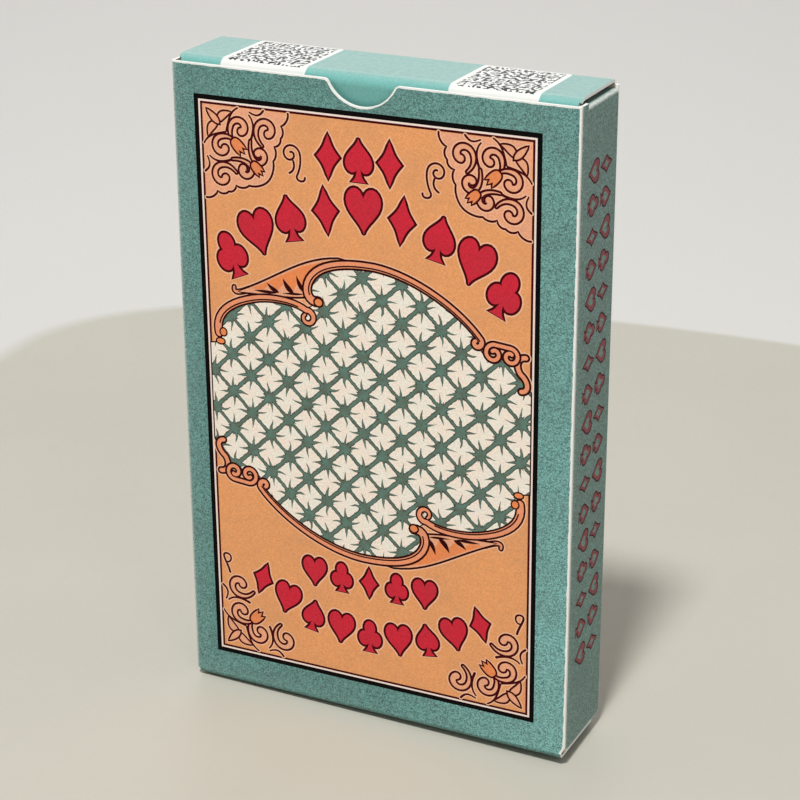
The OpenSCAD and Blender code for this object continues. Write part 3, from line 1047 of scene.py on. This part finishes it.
def front_panel():
    first = -CORNER_X - CORNER_LENGTH
    path = Path((-HALF_W, CORNER_R - HALF_D), -90, [(CORNER_R, 90), (CORNER_X + HALF_W,)], first)
    top = [(HALF_W, FRONT_TOP)] + notch_edge() + [(first, FRONT_TOP)]
    right = [(HALF_W - NIP[0], FOLD_R), (HALF_W, FOLD_R + NIP[1]), (HALF_W, FRONT_TOP)]
    outline = [(first, FOLD_R)] + right + top[1:]
    layers = front_layers()
    layers.append((INK, "raw", ragged(top, CHIP_TOP)))
    layers.append((INK, "raw", ragged(right, CHIP_RIGHT)))
    return sheet("front", path, "xyz", outline, layers, wear=0.6)


def side_top(to_u, from_end):
    """Top edge of a side panel with the gap that its dust flap folds from."""
    near, far = to_u(flap_low.y), to_u(flap_high.y)
    slit = math.copysign(FLAP_SLIT, far - near)
    near, far = near - slit, far + slit
    edge = [(near, SHOULDER_Z), (near, RIDGE_FOOT), (far, RIDGE_FOOT), (far, SHOULDER_Z)]
    return edge[::-1] if from_end else edge


def left_side():
    length = 2 * (HALF_D - CORNER_R)
    path = Path((-HALF_W, HALF_D - CORNER_R), -90, [(length,)])
    top = side_top(lambda y: HALF_D - CORNER_R - y, False)
    outline = [(0, side_low.z), (length, side_low.z), (length, SHOULDER_Z)] + top + [(0, SHOULDER_Z)]
    # The side's ground is the teal painted greyer, a painted reflection of the floor
    return sheet("left_side", path, "xyz", outline, side_layers(length / 2), "teal_side")


def right_side():
    """Right side with its front fold and the glue tab behind the front."""
    tab = CORNER_X - tab_low.x
    fold = FRONT_IN + CORNER_R
    flat = HALF_D - CORNER_R - fold
    path = Path((tab_low.x, FRONT_IN), 0, [(tab,), (CORNER_R, 90), (flat,)])
    start = tab + CORNER_LENGTH
    top = side_top(lambda y: start + y - fold, True)
    rise = tab * math.tan(math.radians(TAB_TAPER))
    outline = [(0, tab_low.z + rise), (tab, tab_low.z), (tab, side_low.z), (path.last, side_low.z)]
    outline += [(path.last, SHOULDER_Z)] + top
    outline += [(tab, SHOULDER_Z), (tab, tab_high.z), (0, tab_high.z - rise)]
    return sheet("right_side", path, "xyz", outline, side_layers(start - fold), "teal_side", wear=0.3)


def back_panel():
    first = -CORNER_X - CORNER_LENGTH
    path = Path((HALF_W, HALF_D - CORNER_R), 90, [(CORNER_R, 90), (2 * CORNER_X,), (CORNER_R, 90)], first)
    top = LID_TOP - FOLD_R
    outline = [(first, back_low.z), (-first, back_low.z), (-first, SHOULDER_Z), (LID_X, SHOULDER_Z)]
    outline += [(LID_X, top), (-LID_X, top), (-LID_X, SHOULDER_Z), (first, SHOULDER_Z)]
    return sheet("back", path, "xyz", outline, back_layers())


def flap_outline(root, length, low, high, tapers=(0.0, 0.0), mirrored=False):
    """Flap along u, from its root to a bevelled free edge, whose sides taper by angles in degrees."""
    end = root + length
    inner = end - FLAP_BEVEL
    front, back = (math.tan(math.radians(taper)) * (length - FLAP_BEVEL) for taper in tapers)
    loop = [(0, low), (root, low), (inner, low + front), (end, low + front + FLAP_BEVEL)]
    loop += [(end, high - back - FLAP_BEVEL), (inner, high - back), (root, high), (0, high)]
    return [(end - u, v) for u, v in loop[::-1]] if mirrored else loop


def bottom_outer():
    reach = outer_high.y + HALF_D - FOLD_R
    path = Path((-HALF_D, FOLD_R), -90, [(FOLD_R, 90), (reach,)])
    outline = flap_outline(FOLD_LENGTH, reach, -LID_X, LID_X)
    return sheet("bottom_outer", path, "yzx", outline, wear=0.0)


def bottom_inner():
    reach = HALF_D - FOLD_R - inner_low.y
    path = Path((inner_low.y, BOARD), 0, [(reach,), (FOLD_R, 90)])
    outline = flap_outline(FOLD_LENGTH, reach, -LID_X, LID_X, mirrored=True)
    return sheet("bottom_inner", path, "yzx", outline)


def bottom_side_right():
    path = Path((foot_high.z, HALF_W), 180, [(FOLD_R, 90), (FOOT_FLAP_L,)])
    outline = flap_outline(FOLD_LENGTH, FOOT_FLAP_L, -foot_high.y, foot_high.y, FOOT_FLAP_TAPERS)
    return sheet("bottom_side_right", path, "zxy", outline)


def bottom_side_left():
    path = Path((foot_low.z, FOOT_FLAP_L - FOLD_X), 270, [(FOOT_FLAP_L,), (FOLD_R, 90)])
    outline = flap_outline(FOLD_LENGTH, FOOT_FLAP_L, -foot_high.y, foot_high.y, FOOT_FLAP_TAPERS, True)
    return sheet("bottom_side_left", path, "zxy", outline)


def lid():
    path = Path((HALF_D, LID_TOP - FOLD_R), 90, [(FOLD_R, 90), (LID_BACK - LID_FRONT,)])
    outline = rectangle(0, -LID_X, path.last, LID_X)
    layers = patch_layers(PATCH_START, path.last + 1, False)
    # The lid's ground is the teal painted lighter for the light from above
    return sheet("lid", path, "yzx", outline, layers, "teal_lid", wear=0.3)


def tongue():
    path = Path((LID_FRONT, LID_TOP), 180, [(TUCK_R, 90 + TONGUE_LEAN), (TONGUE_PLATE,)])
    step = path.bends()[0][1] / 2
    r = TONGUE_CORNER_R
    half = tongue_high.x
    free = arc((path.last - r, r - half), r, 270, 360, 10) + arc((path.last - r, half - r), r, 0, 90, 10)
    outline = [(0, -LID_X), (step, -LID_X), (step, -half)] + free
    outline += [(step, half), (step, LID_X), (0, LID_X)]
    layers = patch_layers(-1, PATCH_END, True)
    # The tongue's ground is the teal painted lighter, with a painted highlight at the crown of its fold
    return sheet("tongue", path, "yzx", outline, layers, "teal_tongue", wear=0.0)


# Rub on the dust flaps' ridges: partly real wear, partly a painted highlight where the ridges' tops catch
# the light from above
RIDGE_WEAR_AND_HIGHLIGHT = 0.7


def dust_flap_left():
    path = Path((RIDGE_FOOT, -HALF_W), 0, [(RIDGE_R, 90 + FLAP_DIP), (FLAP_L,)])
    outline = flap_outline(path.last - FLAP_L, FLAP_L, flap_low.y, flap_high.y, FLAP_TAPERS)
    return sheet("flap_left", path, "zxy", outline, (), "teal_side", wear=RIDGE_WEAR_AND_HIGHLIGHT)


def dust_flap_right():
    heading = math.radians(90 - FLAP_DIP)
    way = Vector((math.cos(heading), math.sin(heading)))
    ridge = Vector((RIDGE_FOOT, RIDGE_X)) + RIDGE_R * Path.outward(heading)
    path = Path(ridge - FLAP_L * way, 90 - FLAP_DIP, [(FLAP_L,), (RIDGE_R, 90 + FLAP_DIP)])
    outline = flap_outline(path.last - FLAP_L, FLAP_L, flap_low.y, flap_high.y, FLAP_TAPERS, True)
    return sheet("flap_right", path, "zxy", outline, (), "teal_side", wear=RIDGE_WEAR_AND_HIGHLIGHT)


def at(*place):
    return Vector(place) * MM


# The fixed panels, in two groups, with the nodes that they stand for
FIXED = {
    "printed_board": (
        (front_panel, "front_panel"),
        (left_side, "left_side_panel"),
        (right_side, "right_side_panel", "glue_tab"),
        (back_panel, "back_panel"),
        (bottom_outer, "bottom_outer_flap"),
    ),
    "bare_board": (
        (bottom_inner, "bottom_inner_flap"),
        (bottom_side_left, "bottom_side_flap_left"),
        (bottom_side_right, "bottom_side_flap_right"),
    ),
}


def build_carton():
    """All panels of the carton. The fixed ones are put on the carton's body; the lid, the tongue and the
    dust flaps stay where they are made, on no body.
    """
    for slot, panels in FIXED.items():
        for make, *nodes in panels:
            piece = make()
            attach(piece, "carton")
            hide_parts(*nodes)
    moving = (
        (lid, "lid_panel", "carton", "lid", (0, HALF_D, LID_TOP - FOLD_R), (0, LID_BACK, LID_TOP)),
        (tongue, "tuck_tongue", "lid", "tongue",
         (0, LID_FRONT, LID_TOP), (0, LID_FRONT - TUCK_R, LID_TOP - TUCK_R)),
        (dust_flap_left, "dust_flap_left", "carton", "dust_flap_left",
         (-HALF_W, 0, RIDGE_FOOT), (-RIDGE_X, 0, RIDGE_FOOT + RIDGE_R)),
        (dust_flap_right, "dust_flap_right", "carton", "dust_flap_right",
         (HALF_W, 0, RIDGE_FOOT), (RIDGE_X, 0, RIDGE_FOOT + RIDGE_R)),
    )
    for make, node, fixed, body, start, end in moving:
        piece = make()
        at(*start)
        at(*end)
        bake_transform(piece)
        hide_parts(node)


# Deck and booklet
CARD_MARGIN = 2.6
CARD_TONES = 3
CARD_SHADE = 0.035


def card_material(tone):
    """Card stock: cream, with the lattice inside a margin on the side that faces the back."""
    net = Look(f"card_{tone}", on_sheet=False)
    x, _, z = net.split(net.places)
    paper = net.mottled((238, 230, 212), (246, 240, 226), 0.5, share=1.0 - CARD_SHADE * tone)
    facing = net.math("GREATER_THAN", net.split(net.node("TexCoord").outputs["Normal"])[1], 0.5)
    low, high = span("card_01")
    within = net.math("LESS_THAN", net.math("ABSOLUTE", x), high.x - CARD_MARGIN)
    rows = net.math("ABSOLUTE", net.math("SUBTRACT", z, (low.z + high.z) / 2))
    rows = net.math("LESS_THAN", rows, (high.z - low.z) / 2 - CARD_MARGIN)
    printed = net.math("MULTIPLY", net.math("MULTIPLY", within, rows), facing)
    return net.finish(net.mix(printed, paper, lattice_color(net, x, z)), 0.42, tooth=0.2, depth=0.004)


def paper_material(name, dark, light, rough):
    net = Look(name, on_sheet=False)
    return net.finish(net.mottled(dark, light, 0.6, 4.0, 0.6), rough, tooth=0.2, depth=0.01)


def steel_material():
    net = Look("staple_steel", on_sheet=False)
    net.shader.inputs["Metallic"].default_value = 1.0
    color = net.mottled((168, 170, 174), (196, 198, 202), 0.2, 2.0)
    return net.finish(color, 0.32, tooth=0.1, depth=0.003)


def dress(name, look):
    data = frame["nodes"][name].data
    data.materials.clear()
    data.materials.append(look)


def dress_contents():
    tones = [card_material(n) for n in range(CARD_TONES)]
    for n, name in enumerate(frame["record"]["behaviour"]["bodies"]["deck"]):
        dress(name, tones[n * 2 % CARD_TONES])
    paper = paper_material("booklet_paper", (228, 222, 206), (238, 233, 220), 0.6)
    dress("booklet_sheet_1", paper)
    dress("booklet_sheet_2", paper)
    dress("booklet_cover", paper_material("booklet_cover", (96, 142, 136), (108, 156, 149), 0.45))
    dress("booklet_staples", steel_material())


# Stage
WORLD_LIGHT, WORLD_SEEN = 0.31, 0.85
WORLD_TINT = (1.0, 0.97, 0.94, 1)
FLOOR_SIZE = 3000.0
FLOOR_FALL = (-0.0128, 0.0265)
FLOOR_DROP = 0.55
TABLE_MIDDLE = (33.1, 89.6)
TABLE_REACH = (160.6, 66.4)
TABLE_RIM = 0.015

# Place and size of each lamp in metres, its power and its colour
LAMPS = {
    "key": ((0.075, -0.52, 1.155), 0.16, 13.5, (0.98, 1, 1)),
    "fill": ((0.75, -0.6, 0.7), 0.4, 1.1, (1, 1, 1)),
    "back": ((-0.55, 1.1, 0.55), 0.9, 2.0, (1, 1, 1)),
}
LAMP_AIM = Vector((0, 0, 0.05))


def floor():
    """Pale table top that meets the carton at its back left corner, with a paler ground round it."""
    corners = []
    for x, y in rectangle(-FLOOR_SIZE, -FLOOR_SIZE, FLOOR_SIZE, FLOOR_SIZE):
        z = FLOOR_FALL[0] * x + FLOOR_FALL[1] * y - FLOOR_DROP
        corners.append((x * MM, y * MM, z * MM))
    mesh = bpy.data.meshes.new("floor")
    mesh.from_pydata(corners, [], [(0, 1, 2, 3)])
    net = Look("floor", on_sheet=False)
    table = net.mottled((187, 183, 171), (191, 187, 175), 60.0)
    x, y, _ = net.split(net.places)
    dx, dy = (net.apart(*place) for place in zip((x, y), TABLE_MIDDLE, TABLE_REACH))
    share = net.length(dx, net.math("MAXIMUM", dy, 0.0))
    color = net.mix(net.ramp(share, 1.0 - TABLE_RIM, 1.0 + TABLE_RIM), table, linear((212, 210, 206)))
    mesh.materials.append(net.finish(color, 0.6, tooth=1.2, depth=0.02))
    piece = put_in_scene("floor", mesh)


def lamp(name, place, size, power, color):
    """Round lamp that looks at the carton."""
    data = bpy.data.lights.new(name, "AREA")
    data.shape = "DISK"
    data.size = size
    data.energy = power
    data.color = color
    piece = put_in_scene(name, data)
    piece.location = place
    piece.rotation_euler = (LAMP_AIM - Vector(place)).to_track_quat("-Z", "Y").to_euler()


def studio():
    """Soft frontal light. The world shows brighter to the eye and in reflections than it lights."""
    world = bpy.data.worlds.new("studio")
    net = Net(world)
    rays = net.node("LightPath").outputs
    seen = net.math("MAXIMUM", rays["Is Camera Ray"], rays["Is Glossy Ray"])
    back = net.tree.nodes["Background"].inputs
    net.feed(back["Color"], WORLD_TINT)
    net.feed(back["Strength"], net.ramp(seen, 0.0, 1.0, WORLD_LIGHT, WORLD_SEEN))
    bpy.context.scene.world = world
    for name, values in LAMPS.items():
        lamp(name, *values)


# Viewpoint of the photograph
AZIMUTH, ELEVATION, ROLL = math.radians(26.0274), math.radians(22.147), math.radians(-0.2512)
DISTANCE = 307.72
AIM = Vector((0, 0, 46.2))
SHIFT_RIGHT, SHIFT_UP = 1.064, 0.0275
LENS = 100.3


def camera():
    turn = Matrix.Rotation(AZIMUTH, 4, "Z") @ Matrix.Rotation(math.pi / 2 - ELEVATION, 4, "X")
    turn = turn @ Matrix.Rotation(ROLL, 4, "Z")
    eye = AIM + turn @ Vector((SHIFT_RIGHT, SHIFT_UP, DISTANCE))
    data = bpy.data.cameras.new("camera")
    data.lens = LENS
    data.clip_start = 0.01
    piece = put_in_scene("camera", data)
    piece.matrix_world = Matrix.Translation(eye * MM) @ turn
    bpy.context.scene.camera = piece


camera()
studio()
floor()
build_carton()
dress_contents()
bpy.context.scene.view_settings.view_transform = "Standard"
